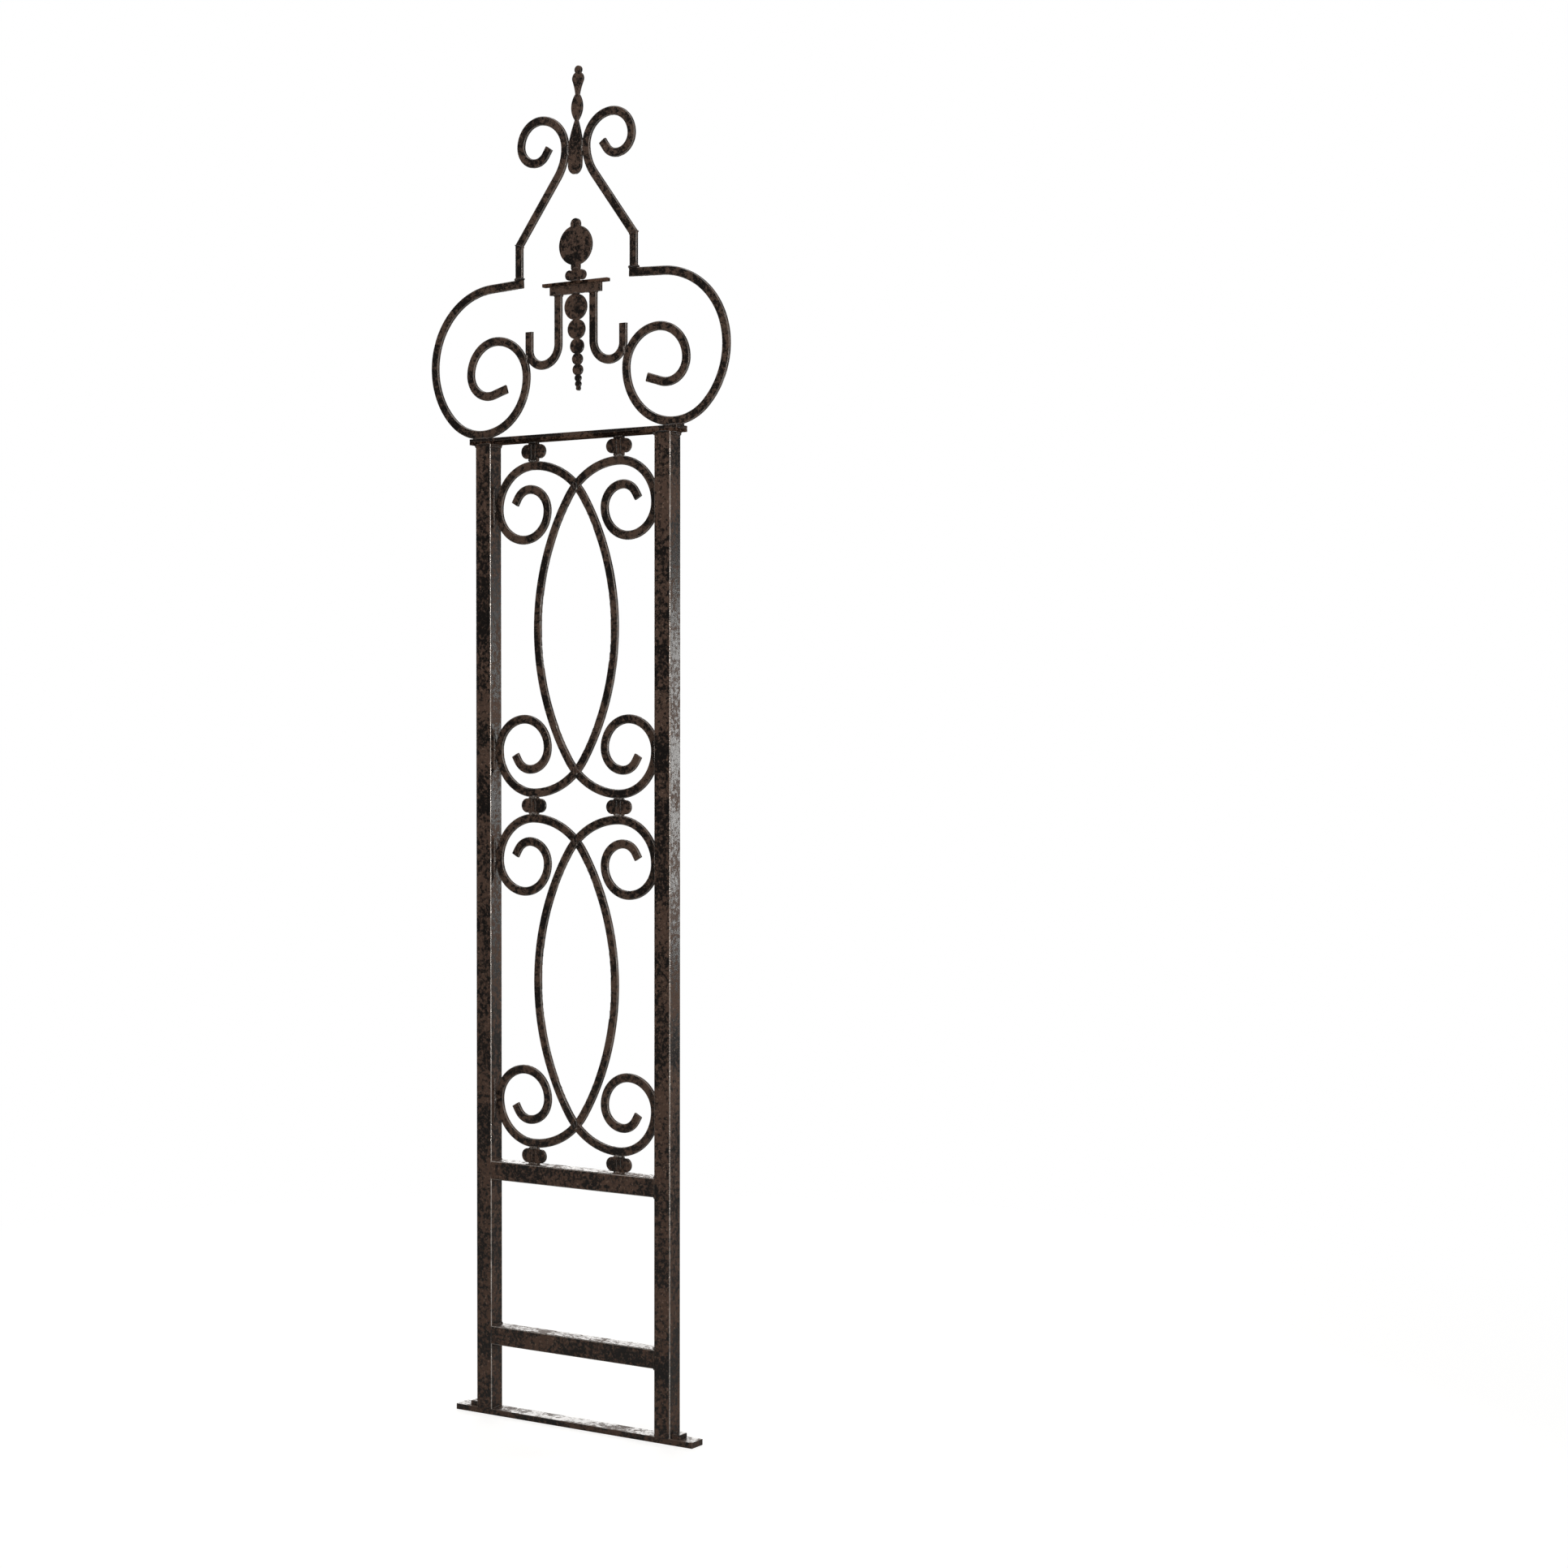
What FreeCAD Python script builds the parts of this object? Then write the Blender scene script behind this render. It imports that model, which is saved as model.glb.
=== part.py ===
"""Wrought-look garden trellis panel with an arched scroll crest, modelled flat bar by flat bar.

Frame: +Z up, X across the panel, Y through it, front towards -Y.
Origin: middle of the underside of the base bar. Millimetres throughout.
"""
import FreeCAD
import Part
import Sketcher
import math
import os
import re

doc = FreeCAD.newDocument("trellis_panel")
sheet = doc.addObject("Spreadsheet::Sheet", "sizes")

# Driving dimensions, in the order the panel is put together.
SIZES = {
    # posts and rails, square tube
    "post_spacing": 290.0,       # between the post centre lines
    "post_size": 25.4,           # outside of the square tube
    "post_wall": 1.6,
    "post_corner": 2.0,          # outside corner radius of the tube
    "post_inner_corner": 1.0,
    "base_overhang": 34.5,       # base bar past each post
    "base_depth": 26.0,
    "base_thick": 8.0,
    "lug_length": 13.0,          # small welded foot lugs
    "lug_depth": 17.0,
    "lug_thick": 6.0,
    "lower_rail_rise": 88.3,     # clear height under the lower rail
    "rail_gap": 199.7,           # clear height between the two rails
    # flat strips across the post heads
    "strip_thick": 4.0,
    "strip_depth": 25.4,
    "strip_overhang": 10.0,
    # flat bar that every scroll is bent from
    "bar_width": 12.0,
    "bar_depth": 5.0,
    "bar_edge": 2.0,             # rolled edge radius of the bar
    "plate_thick": 4.0,          # cut plate of the small ornaments
    # the two infill units, each a crossed pair of scroll bars
    "unit_height": 450.5,
    "belly_half": 62.5,          # from the panel's middle to the belly of a bar
    "belly_turn": 32.0,          # degrees turned in the long gentle bend
    "scroll_round": 57.2,        # radius of the first quarter past the top
    "scroll_under": 41.8,        # radius of the second quarter
    "eye_gap": 6.0,              # clear space between a scroll eye and the crossing bar
    "curl_ratio": 0.77,          # each turn inside the eye against the turn before
    "curl_turn": 60.0,
    "curl_end": 9.0,
    "lap_window": 8.0,           # half angle of the notch where two bars cross
    # double-lobed connectors between rails and scrolls
    "bead_gap": 22.0,
    "head_gap": 25.9,
    "bead_width": 39.2,
    "bead_lobe": 9.6,
    "bead_neck": 16.0,
    # crest scrolls
    "seat_outboard": 10.0,       # scroll seat beyond the post centre line
    "crest_foot_round": 70.3,
    "crest_foot_turn": 45.0,     # degrees; the side bend makes up the quarter turn
    "crest_side_round": 104.8,
    "crest_shoulder_round": 101.0,
    "shoulder_slope": 2.7,
    "crest_inner_round": 74.2,
    "crest_eye_round": 50.4,
    "crest_curl_round": 43.0,
    "crest_tip_round": 30.0,
    "crest_tip_turn": 107.0,
    "crest_tip_end": 22.4,
    # risers and rafters
    "riser_place": 92.5,         # from the panel's middle to the riser
    "riser_height": 44.8,
    "rafter_lean": 36.6,         # degrees from upright
    "rafter_waist_round": 62.5,
    "rafter_top_round": 40.3,
    "rafter_out_round": 31.9,
    "rafter_under_round": 23.5,
    "rafter_tip_round": 20.1,
    "rafter_tip_turn": 56.0,
    "rafter_tip_end": 10.7,
    "mitre_spare": 6.0,          # extra bar length that the mitre cut takes off
    # spire between the rafters
    "spire_height": 142.0,
    "spire_width": 21.8,
    "spire_foot_drop": 36.0,     # spire foot below the line where the rafters grip it
    "spire_fit": 0.1,
    "spire_tilt": 2.5,
    # hooks and bracket carrying the middle ornament
    "hook_place": 28.3,          # from the panel's middle to a hook's long leg
    "hook_rise": 34.1,           # hook bend centre above the crest scroll's eye centre
    "hook_tip_round": 21.2,
    "hook_end": 24.5,
    "hook_height": 90.6,         # from the hook's bottom to the bracket bar
    "hook_fit": 0.1,
    "bracket_length": 82.8,
    "flange_length": 105.0,
    "flange_thick": 4.5,
    "flange_depth": 8.0,
    # cut plate ornaments on and under the bracket
    "collar_height": 16.0,
    "collar_width": 32.8,
    "collar_lobe": 6.8,
    "collar_neck": 12.0,
    "finial_radius": 26.3,
    "finial_stem": 5.0,
    "finial_stem_width": 14.0,
    "knob_radius": 7.8,
    "knob_rise": 27.8,
    "drop_top_radius": 17.4,
    "drop_second_radius": 13.3,
    "drop_third_radius": 10.3,
    "drop_fourth_radius": 7.8,
    "drop_fifth_radius": 7.5,
    "drop_sixth_radius": 4.6,
    "drop_seventh_radius": 4.2,
    "drop_tip_radius": 2.9,
    "drop_overlap": 1.1,
    "drop_web": 5.0,
    "drop_tilt": 2.2,
}

# Places and radii that follow from the driving dimensions.
DERIVED = {
    "inner_half": "(post_spacing - post_size)/2",
    "lower_rail_foot": "base_thick + lower_rail_rise",
    "middle_rail_foot": "lower_rail_foot + post_size + rail_gap",
    "middle_rail_top": "middle_rail_foot + post_size",
    "lower_unit_foot": "middle_rail_top + bead_gap",
    "upper_unit_foot": "lower_unit_foot + unit_height + bead_gap",
    "upper_unit_top": "upper_unit_foot + unit_height",
    "head_bar_foot": "upper_unit_top + head_gap",
    "crest_bar_foot": "head_bar_foot + strip_thick",
    "crest_seat": "crest_bar_foot + strip_thick",
    "strip_length": "post_spacing + post_size + 2*strip_overhang",
    # infill scroll bar: the outermost turn just meets the post
    "scroll_reach": "inner_half - bar_width/2",
    "top_place": "scroll_reach - scroll_round",
    "top_rise": "(unit_height - bar_width)/2",
    "bend_share": "sin(belly_turn)*cos(belly_turn) - (1 - sin(belly_turn))*(1 - cos(belly_turn))",
    "belly_round": "(top_rise*cos(belly_turn) - (belly_half + top_place)*(1 - sin(belly_turn)))"
                   "/bend_share",
    "shoulder_round": "((belly_half + top_place)*sin(belly_turn) - top_rise*(1 - cos(belly_turn)))"
                      "/bend_share",
    "under_rise": "top_rise - scroll_round - scroll_under",
    "eye_reach": "belly_round + bar_width + eye_gap",
    "eye_offset": "scroll_reach - scroll_under + belly_round - belly_half",
    "eye_round": "(eye_offset^2 + under_rise^2 - eye_reach^2)/(2*(eye_reach - under_rise))",
    "curl_round": "eye_round*curl_ratio",
    "curl_tip_round": "curl_round*curl_ratio",
    # crest scroll: from its seat out and up to the corner, and in to the eye
    "crest_middle": "crest_seat + bar_width/2",
    "seat_place": "post_spacing/2 + seat_outboard",
    "crest_out_place": "seat_place + crest_foot_round*sin(crest_foot_turn)"
                       " + crest_side_round*(1 - sin(crest_foot_turn))",
    "corner_place": "riser_place - bar_width/2",
    "shoulder_run": "(crest_out_place - crest_shoulder_round*(1 - sin(shoulder_slope))"
                    " - corner_place)/cos(shoulder_slope)",
    "corner_rise": "crest_foot_round*(1 - cos(crest_foot_turn))"
                   " + crest_side_round*cos(crest_foot_turn)"
                   " + crest_shoulder_round*cos(shoulder_slope) + shoulder_run*sin(shoulder_slope)",
    "riser_foot": "crest_middle + corner_rise + bar_width/2*cos(shoulder_slope)",
    "rafter_foot": "riser_foot + riser_height",
    # rafter: grips the spire where it stands upright
    "grip_place": "spire_width/2 + spire_fit + bar_width/2",
    "rafter_run": "(riser_place - grip_place - rafter_waist_round*(1 - cos(rafter_lean)))"
                  "/sin(rafter_lean)",
    "grip_drop": "rafter_waist_round*sin(rafter_lean) + rafter_run*cos(rafter_lean)",
    "grip_height": "rafter_foot + grip_drop",
    # hook: its bend just meets the crest scroll's eye
    "crest_eye_place": "seat_place - crest_inner_round + crest_eye_round",
    "crest_eye_height": "crest_middle + crest_inner_round",
    "hook_touch": "hook_tip_round + crest_eye_round + bar_width + hook_fit",
    "hook_middle": "crest_eye_place - sqrt(hook_touch^2 - hook_rise^2)",
    "hook_round": "hook_middle - hook_place",
    "hook_run": "hook_height - hook_round",
    "bracket_foot": "crest_eye_height + hook_rise - hook_tip_round + hook_height",
    "flange_foot": "bracket_foot + bar_width",
    "collar_foot": "flange_foot + flange_thick",
    "finial_foot": "collar_foot + collar_height",
}

# The drop is a string of touching discs cut from one plate, largest at the top.
DROP_DISCS = ["top", "second", "third", "fourth", "fifth", "sixth", "seventh", "tip"]

# Least metal, in cubic millimetres, that a cut must take away to count.
LEAST_CUT = 1.0

# Half outline of the spire from foot to neck, as shares of its half width and of its height.
# The third entry is the point that the arc from the station before passes through.
SPIRE_SIDE = [
    (0.25, 0.000, None),
    (1.00, 0.084, (0.74, 0.027)),
    (1.00, 0.290, None),
    (0.22, 0.496, (0.62, 0.405)),
    (0.27, 0.736, (0.80, 0.609)),
    (0.74, 0.855, (0.45, 0.795)),
    (0.38, 0.935, (0.80, 0.893)),
]


def expand(text):
    """Spell an expression out in spreadsheet cells."""
    def swap(match):
        word = match.group(0)
        if word in DERIVED:
            return "(" + expand(DERIVED[word]) + ")"
        if word in SIZES:
            return "sizes." + word
        return word
    return re.sub(r"[a-z_]+", swap, str(text))


def value(text):
    """The number an expression stands for now."""
    return float(sheet.evalExpression(expand(text)))


def fill_sheet():
    for row, (alias, number) in enumerate(SIZES.items(), start=1):
        sheet.set(f"A{row}", alias.replace("_", " "))
        sheet.set(f"B{row}", str(number))
        sheet.setAlias(f"B{row}", alias)
    doc.recompute()


def place(item, x="0", y="0", z="0", axis=None, angle=None):
    """Bind an object's placement to the sheet."""
    if axis is not None:
        item.Placement = FreeCAD.Placement(FreeCAD.Vector(), FreeCAD.Rotation(axis, value(angle)))
    for name, text in (("x", x), ("y", y), ("z", z)):
        item.setExpression("Placement.Base." + name, expand(text))
    if axis is not None:
        item.setExpression("Placement.Rotation.Angle", expand(angle))


def origin_plane(body, role):
    return next(f for f in body.Origin.OriginFeatures if f.Role == role)


def add_sketch(body, name, role):
    sketch = body.newObject("Sketcher::SketchObject", name)
    sketch.AttachmentSupport = [(origin_plane(body, role), "")]
    sketch.MapMode = "FlatFace"
    return sketch


def bind(sketch, constraint, text):
    """Add a dimension and bind it to the sheet."""
    index = sketch.addConstraint(constraint)
    sketch.setExpression(f"Constraints[{index}]", expand(text))
    return index


def pin(sketch, geometry, point, x, y):
    """Fix a point of the sketch by its two distances from the sketch origin."""
    for kind, text in (("DistanceX", x), ("DistanceY", y)):
        bind(sketch, Sketcher.Constraint(kind, -1, 1, geometry, point, value(text)), text)


def rounded_rectangle(sketch, x, y, width, height, radius):
    """A rectangle with equal corner arcs, centred on (x, y), as one closed loop."""
    half_w, half_h, r = value(width) / 2, value(height) / 2, value(radius)
    cx, cy = value(x), value(y)
    corners = [(1, -1, -90), (1, 1, 0), (-1, 1, 90), (-1, -1, 180)]
    arcs = []
    for sx, sy, start in corners:
        centre = FreeCAD.Vector(cx + sx * (half_w - r), cy + sy * (half_h - r), 0)
        circle = Part.Circle(centre, FreeCAD.Vector(0, 0, 1), r)
        span = (math.radians(start), math.radians(start + 90))
        arcs.append(sketch.addGeometry(Part.ArcOfCircle(circle, *span), False))
    lines = []
    for here, there in zip(arcs, arcs[1:] + arcs[:1]):
        a = sketch.Geometry[here].EndPoint
        b = sketch.Geometry[there].StartPoint
        line = sketch.addGeometry(Part.LineSegment(a, b), False)
        sketch.addConstraint(Sketcher.Constraint("Tangent", here, 2, line, 1))
        sketch.addConstraint(Sketcher.Constraint("Tangent", line, 2, there, 1))
        lines.append(line)
    for line, kind in zip(lines, ("Vertical", "Horizontal", "Vertical", "Horizontal")):
        sketch.addConstraint(Sketcher.Constraint(kind, line))
    for arc in arcs[1:]:
        sketch.addConstraint(Sketcher.Constraint("Equal", arcs[0], arc))
    bind(sketch, Sketcher.Constraint("Radius", arcs[0], r), radius)
    right, top, left, bottom = lines
    for line, sign in ((right, "+"), (left, "-")):
        text = f"{x} {sign} ({width})/2"
        bind(sketch, Sketcher.Constraint("DistanceX", -1, 1, line, 1, value(text)), text)
    for line, sign in ((top, "+"), (bottom, "-")):
        text = f"{y} {sign} ({height})/2"
        bind(sketch, Sketcher.Constraint("DistanceY", -1, 1, line, 1, value(text)), text)


def bent_path(sketch, x, y, heading, steps):
    """Draw a bar's centre line as runs and arcs, each tangent to the one before.

    A step is ("run", length) or (radius, turn), turns in degrees and positive to the left.
    """
    px, py, angle = value(x), value(y), math.radians(heading)
    previous = None
    for size, amount in steps:
        if size == "run":
            end = (px + value(amount) * math.cos(angle), py + value(amount) * math.sin(angle))
            shape = Part.LineSegment(FreeCAD.Vector(px, py, 0), FreeCAD.Vector(*end, 0))
            first, last, turned = 1, 2, angle
        else:
            radius, turn = value(size), math.radians(value(amount))
            side = 1 if turn > 0 else -1
            cx = px - side * radius * math.sin(angle)
            cy = py + side * radius * math.cos(angle)
            turned = angle + turn
            end = (cx + side * radius * math.sin(turned), cy - side * radius * math.cos(turned))
            low, high = sorted((angle - side * math.pi / 2, turned - side * math.pi / 2))
            circle = Part.Circle(FreeCAD.Vector(cx, cy, 0), FreeCAD.Vector(0, 0, 1), radius)
            shape = Part.ArcOfCircle(circle, low, high)
            first, last = (1, 2) if side > 0 else (2, 1)
        index = sketch.addGeometry(shape, False)
        if previous is None:
            pin(sketch, index, first, x, y)
        else:
            sketch.addConstraint(Sketcher.Constraint("Tangent", *previous, index, first))
        if size == "run":
            bind(sketch, Sketcher.Constraint("Distance", index, value(amount)), amount)
        else:
            bind(sketch, Sketcher.Constraint("Radius", index, radius), size)
            span = f"abs({amount})"
            bind(sketch, Sketcher.Constraint("Angle", index, abs(turn)), span)
        previous = (index, last)
        (px, py), angle = end, turned


def bar_section(body, name, role, x="0"):
    """The flat bar's rolled-edge section, on the plane that its path starts from."""
    sketch = add_sketch(body, name, role)
    if role == "XY_Plane":
        rounded_rectangle(sketch, x, "0", "bar_width", "bar_depth", "bar_edge")
    else:
        rounded_rectangle(sketch, x, "0", "bar_depth", "bar_width", "bar_edge")
    return sketch


def bend_bar(body, name, section, x, heading, steps):
    """Sweep the bar's section along one bent path."""
    path = add_sketch(body, name + "_path", "XZ_Plane")
    bent_path(path, x, "0", heading, steps)
    doc.recompute()
    pipe = body.newObject("PartDesign::AdditivePipe", name)
    pipe.Profile = section
    pipe.Spine = (path, [f"Edge{n}" for n in range(1, len(steps) + 1)])
    pipe.Mode = "Standard"
    body.Tip = pipe
    doc.recompute()
    return pipe


def mirrored_steps(steps, side):
    """The same bends for the left-hand bar, which turns the other way."""
    return [(size, amount if size == "run" else f"{side}*({amount})") for size, amount in steps]


def new_body(name):
    body = doc.addObject("PartDesign::Body", name)
    body.Label = name
    return body


def pad_sketch(body, sketch, length, symmetric):
    pad = body.newObject("PartDesign::Pad", sketch.Name + "_pad")
    pad.Profile = sketch
    pad.SideType = "Symmetric" if symmetric else "One side"
    pad.setExpression("Length", expand(length))
    body.Tip = pad
    doc.recompute()
    return pad


def cut_sketch(body, sketch, length, reverse, both_ways=False):
    """Pocket a sketch and make sure that it took metal away."""
    before = body.Tip.Shape.Volume
    pocket = body.newObject("PartDesign::Pocket", sketch.Name + "_cut")
    pocket.Profile = sketch
    pocket.SideType = "Symmetric" if both_ways else "One side"
    pocket.Reversed = reverse
    pocket.setExpression("Length", expand(length))
    body.Tip = pocket
    doc.recompute()
    if pocket.Shape.Volume >= before - LEAST_CUT:
        raise RuntimeError(sketch.Name + " cut nothing")
    return pocket


def add_box(name, length, depth, height, z, x="0"):
    """A plain flat bar, centred across and through the panel."""
    box = doc.addObject("Part::Box", name)
    box.Label = name
    for prop, text in (("Length", length), ("Width", depth), ("Height", height)):
        box.setExpression(prop, expand(text))
    place(box, f"{x} - ({length})/2", f"-({depth})/2", z)
    return box


def square_tube(name, role, length):
    """Square tube with rounded corners, padded from its own origin plane."""
    body = new_body(name)
    sketch = add_sketch(body, name + "_section", role)
    rounded_rectangle(sketch, "0", "0", "post_size", "post_size", "post_corner")
    inside = "post_size - 2*post_wall"
    rounded_rectangle(sketch, "0", "0", inside, inside, "post_inner_corner")
    pad_sketch(body, sketch, length, symmetric=False)
    return body


def make_base_bar():
    add_box("base_bar", "post_spacing + post_size + 2*base_overhang",
            "base_depth", "base_thick", "0")


def make_post(name, side):
    post = square_tube(name, "XY_Plane", "head_bar_foot - base_thick")
    place(post, f"{side}*post_spacing/2", z="base_thick")


def make_foot_lug(name, side):
    middle = f"{side}*(post_spacing/2 + post_size/2 + lug_length/2)"
    add_box(name, "lug_length", "lug_depth", "lug_thick", "base_thick", x=middle)


def make_rail(name, foot):
    rail = square_tube(name, "YZ_Plane", "2*inner_half")
    place(rail, "-inner_half", z=f"{foot} + post_size/2")


def make_strip(name, foot):
    add_box(name, "strip_length", "strip_depth", "strip_thick", foot)


def lap_notch(body, name, side, up, front):
    """Half-lap notch: the other bar's own width, cut to half the bar's depth."""
    sketch = add_sketch(body, name, "XZ_Plane")
    cx, cz = f"{side}*top_place", f"{up}*(top_rise - shoulder_round)"
    toward = math.atan2(up * value("sqrt(shoulder_round^2 - top_place^2)"),
                        -side * value("top_place"))
    window = math.radians(value("lap_window"))
    centre = FreeCAD.Vector(value(cx), value(cz), 0)
    arcs = []
    for edge in ("shoulder_round - bar_width/2", "shoulder_round + bar_width/2"):
        circle = Part.Circle(centre, FreeCAD.Vector(0, 0, 1), value(edge))
        arc = Part.ArcOfCircle(circle, toward - window, toward + window)
        index = sketch.addGeometry(arc, False)
        bind(sketch, Sketcher.Constraint("Radius", index, value(edge)), edge)
        pin(sketch, index, 3, cx, cz)
        arcs.append(index)
    for point in (1, 2):
        ends = [sketch.Geometry[a].StartPoint if point == 1 else sketch.Geometry[a].EndPoint
                for a in arcs]
        line = sketch.addGeometry(Part.LineSegment(*ends), False)
        sketch.addConstraint(Sketcher.Constraint("Coincident", line, 1, arcs[0], point))
        sketch.addConstraint(Sketcher.Constraint("Coincident", line, 2, arcs[1], point))
    doc.recompute()
    cut_sketch(body, sketch, "bar_depth", reverse=front)


def make_unit_bar(name, side, foot, front):
    """One infill bar: belly on one side, a scroll at both ends on the other."""
    body = new_body(name)
    section = bar_section(body, name + "_section", "XY_Plane", f"{side}*belly_half")
    bends = [
        ("belly_round", "belly_turn"),
        ("shoulder_round", "90 - belly_turn"),
        ("scroll_round", "90"),
        ("scroll_under", "90"),
        ("eye_round", "90"),
        ("curl_round", "90"),
        ("curl_tip_round", "curl_turn"),
        ("run", "curl_end"),
    ]
    half = bend_bar(body, name + "_half", section, f"{side}*belly_half", 90,
                    mirrored_steps(bends, side))
    mirror = body.newObject("PartDesign::Mirrored", name + "_mirror")
    mirror.Originals = [half]
    mirror.MirrorPlane = (origin_plane(body, "XY_Plane"), [""])
    body.Tip = mirror
    doc.recompute()
    for up in (1, -1):
        lap_notch(body, f"{name}_notch_{'top' if up > 0 else 'foot'}", side, up, front)
    place(body, z=f"{foot} + unit_height/2")


def plate_ornament(name, pieces, x, z, axis=None, angle=None):
    """Fuse discs and webs of cut plate into one ornament standing in the panel's middle plane."""
    fused = doc.addObject("Part::MultiFuse", name)
    fused.Label = name
    fused.Shapes = pieces
    fused.Refine = True
    place(fused, x, "0", z, axis, angle)


def plate_disc(name, radius, x, z):
    disc = doc.addObject("Part::Cylinder", name)
    disc.setExpression("Radius", expand(radius))
    disc.setExpression("Height", expand("plate_thick"))
    disc.Placement = FreeCAD.Placement(FreeCAD.Vector(), FreeCAD.Rotation(FreeCAD.Vector(1, 0, 0), 90))
    for axis, text in (("x", x), ("y", "plate_thick/2"), ("z", z)):
        disc.setExpression("Placement.Base." + axis, expand(text))
    return disc


def plate_web(name, width, z, height):
    web = doc.addObject("Part::Box", name)
    for prop, text in (("Length", width), ("Width", "plate_thick"), ("Height", height)):
        web.setExpression(prop, expand(text))
    place(web, f"-({width})/2", "-plate_thick/2", z)
    return web


def double_lobe(name, width, lobe, neck, height, x, z):
    """A connector plate: two round lobes either side of a straight neck."""
    lobe_place = f"({width})/2 - {lobe}"
    pieces = [plate_web(name + "_neck", neck, "0", height)]
    for side, word in ((-1, "left"), (1, "right")):
        disc = plate_disc(f"{name}_{word}_lobe", lobe, f"{side}*({lobe_place})", f"({height})/2")
        pieces.append(disc)
    plate_ornament(name, pieces, x, z)


def make_connectors():
    rows = [("bottom", "middle_rail_top", "bead_gap"),
            ("middle", "lower_unit_foot + unit_height", "bead_gap"),
            ("top", "upper_unit_top", "head_gap")]
    for row, foot, gap in rows:
        for side, word in ((-1, "left"), (1, "right")):
            double_lobe(f"{row}_connector_{word}", "bead_width", "bead_lobe", "bead_neck", gap,
                        f"{side}*top_place", foot)


def make_crest_scroll(name, side):
    """Large crest scroll: seated on the crest bar, out and up to the corner, in to its eye."""
    body = new_body(name)
    section = bar_section(body, name + "_section", "YZ_Plane")
    outward, inward = (0, 180) if side > 0 else (180, 0)
    rising = [("crest_foot_round", "crest_foot_turn"),
              ("crest_side_round", "90 - crest_foot_turn"),
              ("crest_shoulder_round", "90 - shoulder_slope"), ("run", "shoulder_run")]
    curling = [("crest_inner_round", "-90"), ("crest_eye_round", "-90"),
               ("crest_curl_round", "-90"), ("crest_tip_round", "-crest_tip_turn"),
               ("run", "crest_tip_end")]
    bend_bar(body, name + "_side", section, "0", outward, mirrored_steps(rising, side))
    bend_bar(body, name + "_eye", section, "0", inward, mirrored_steps(curling, side))
    place(body, f"{side}*seat_place", z="crest_middle")


def mitre_cut(body, name, side, z, below):
    """Cut a bar end on the line that halves the bend between riser and rafter."""
    sketch = add_sketch(body, name, "XZ_Plane")
    reach = "3*bar_width"
    x = "0" if not below else f"{side}*(riser_place - grip_place)"
    slope = "tan(rafter_lean/2)"
    away = "-" if below else "+"
    corners = [
        (f"{x} - {side}*{reach}", f"{z} - {reach}*{slope}"),
        (f"{x} + {side}*{reach}", f"{z} + {reach}*{slope}"),
        (f"{x} + {side}*{reach}", f"{z} {away} 2*{reach}"),
        (f"{x} - {side}*{reach}", f"{z} {away} 2*{reach}"),
    ]
    points = [FreeCAD.Vector(value(px), value(pz), 0) for px, pz in corners]
    lines = [sketch.addGeometry(Part.LineSegment(a, b), False)
             for a, b in zip(points, points[1:] + points[:1])]
    for here, there in zip(lines, lines[1:] + lines[:1]):
        sketch.addConstraint(Sketcher.Constraint("Coincident", here, 2, there, 1))
    for line, (px, pz) in zip(lines, corners):
        pin(sketch, line, 1, px, pz)
    doc.recompute()
    cut_sketch(body, sketch, "2*bar_depth", reverse=False, both_ways=True)


def make_riser(name, side):
    body = new_body(name)
    section = bar_section(body, name + "_section", "XY_Plane")
    pad_sketch(body, section, "riser_height + mitre_spare", symmetric=False)
    mitre_cut(body, name + "_mitre", side, "riser_height", below=False)
    place(body, f"{side}*riser_place", z="riser_foot")


def make_rafter(name, side):
    """Leaning bar from the riser to the spire, ending in a small outward scroll."""
    body = new_body(name)
    section = bar_section(body, name + "_section", "XY_Plane")
    falling = [("rafter_waist_round", "rafter_lean"), ("run", "rafter_run + mitre_spare")]
    curling = [("rafter_top_round", "-90"), ("rafter_out_round", "-90"),
               ("rafter_under_round", "-90"), ("rafter_tip_round", "-rafter_tip_turn"),
               ("run", "rafter_tip_end")]
    bend_bar(body, name + "_leg", section, "0", -90, mirrored_steps(falling, side))
    bend_bar(body, name + "_curl", section, "0", 90, mirrored_steps(curling, side))
    mitre_cut(body, name + "_mitre", side, "-grip_drop", below=True)
    place(body, f"{side}*grip_place", z="grip_height")


def end_at(sketch, index, place_vector):
    """Which end of a drawn edge lies at a place: 1 for its start, 2 for its end."""
    start, end = (sketch.getPoint(index, number) for number in (1, 2))
    nearer_start = start.distanceToPoint(place_vector) < end.distanceToPoint(place_vector)
    return 1 if nearer_start else 2


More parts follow.
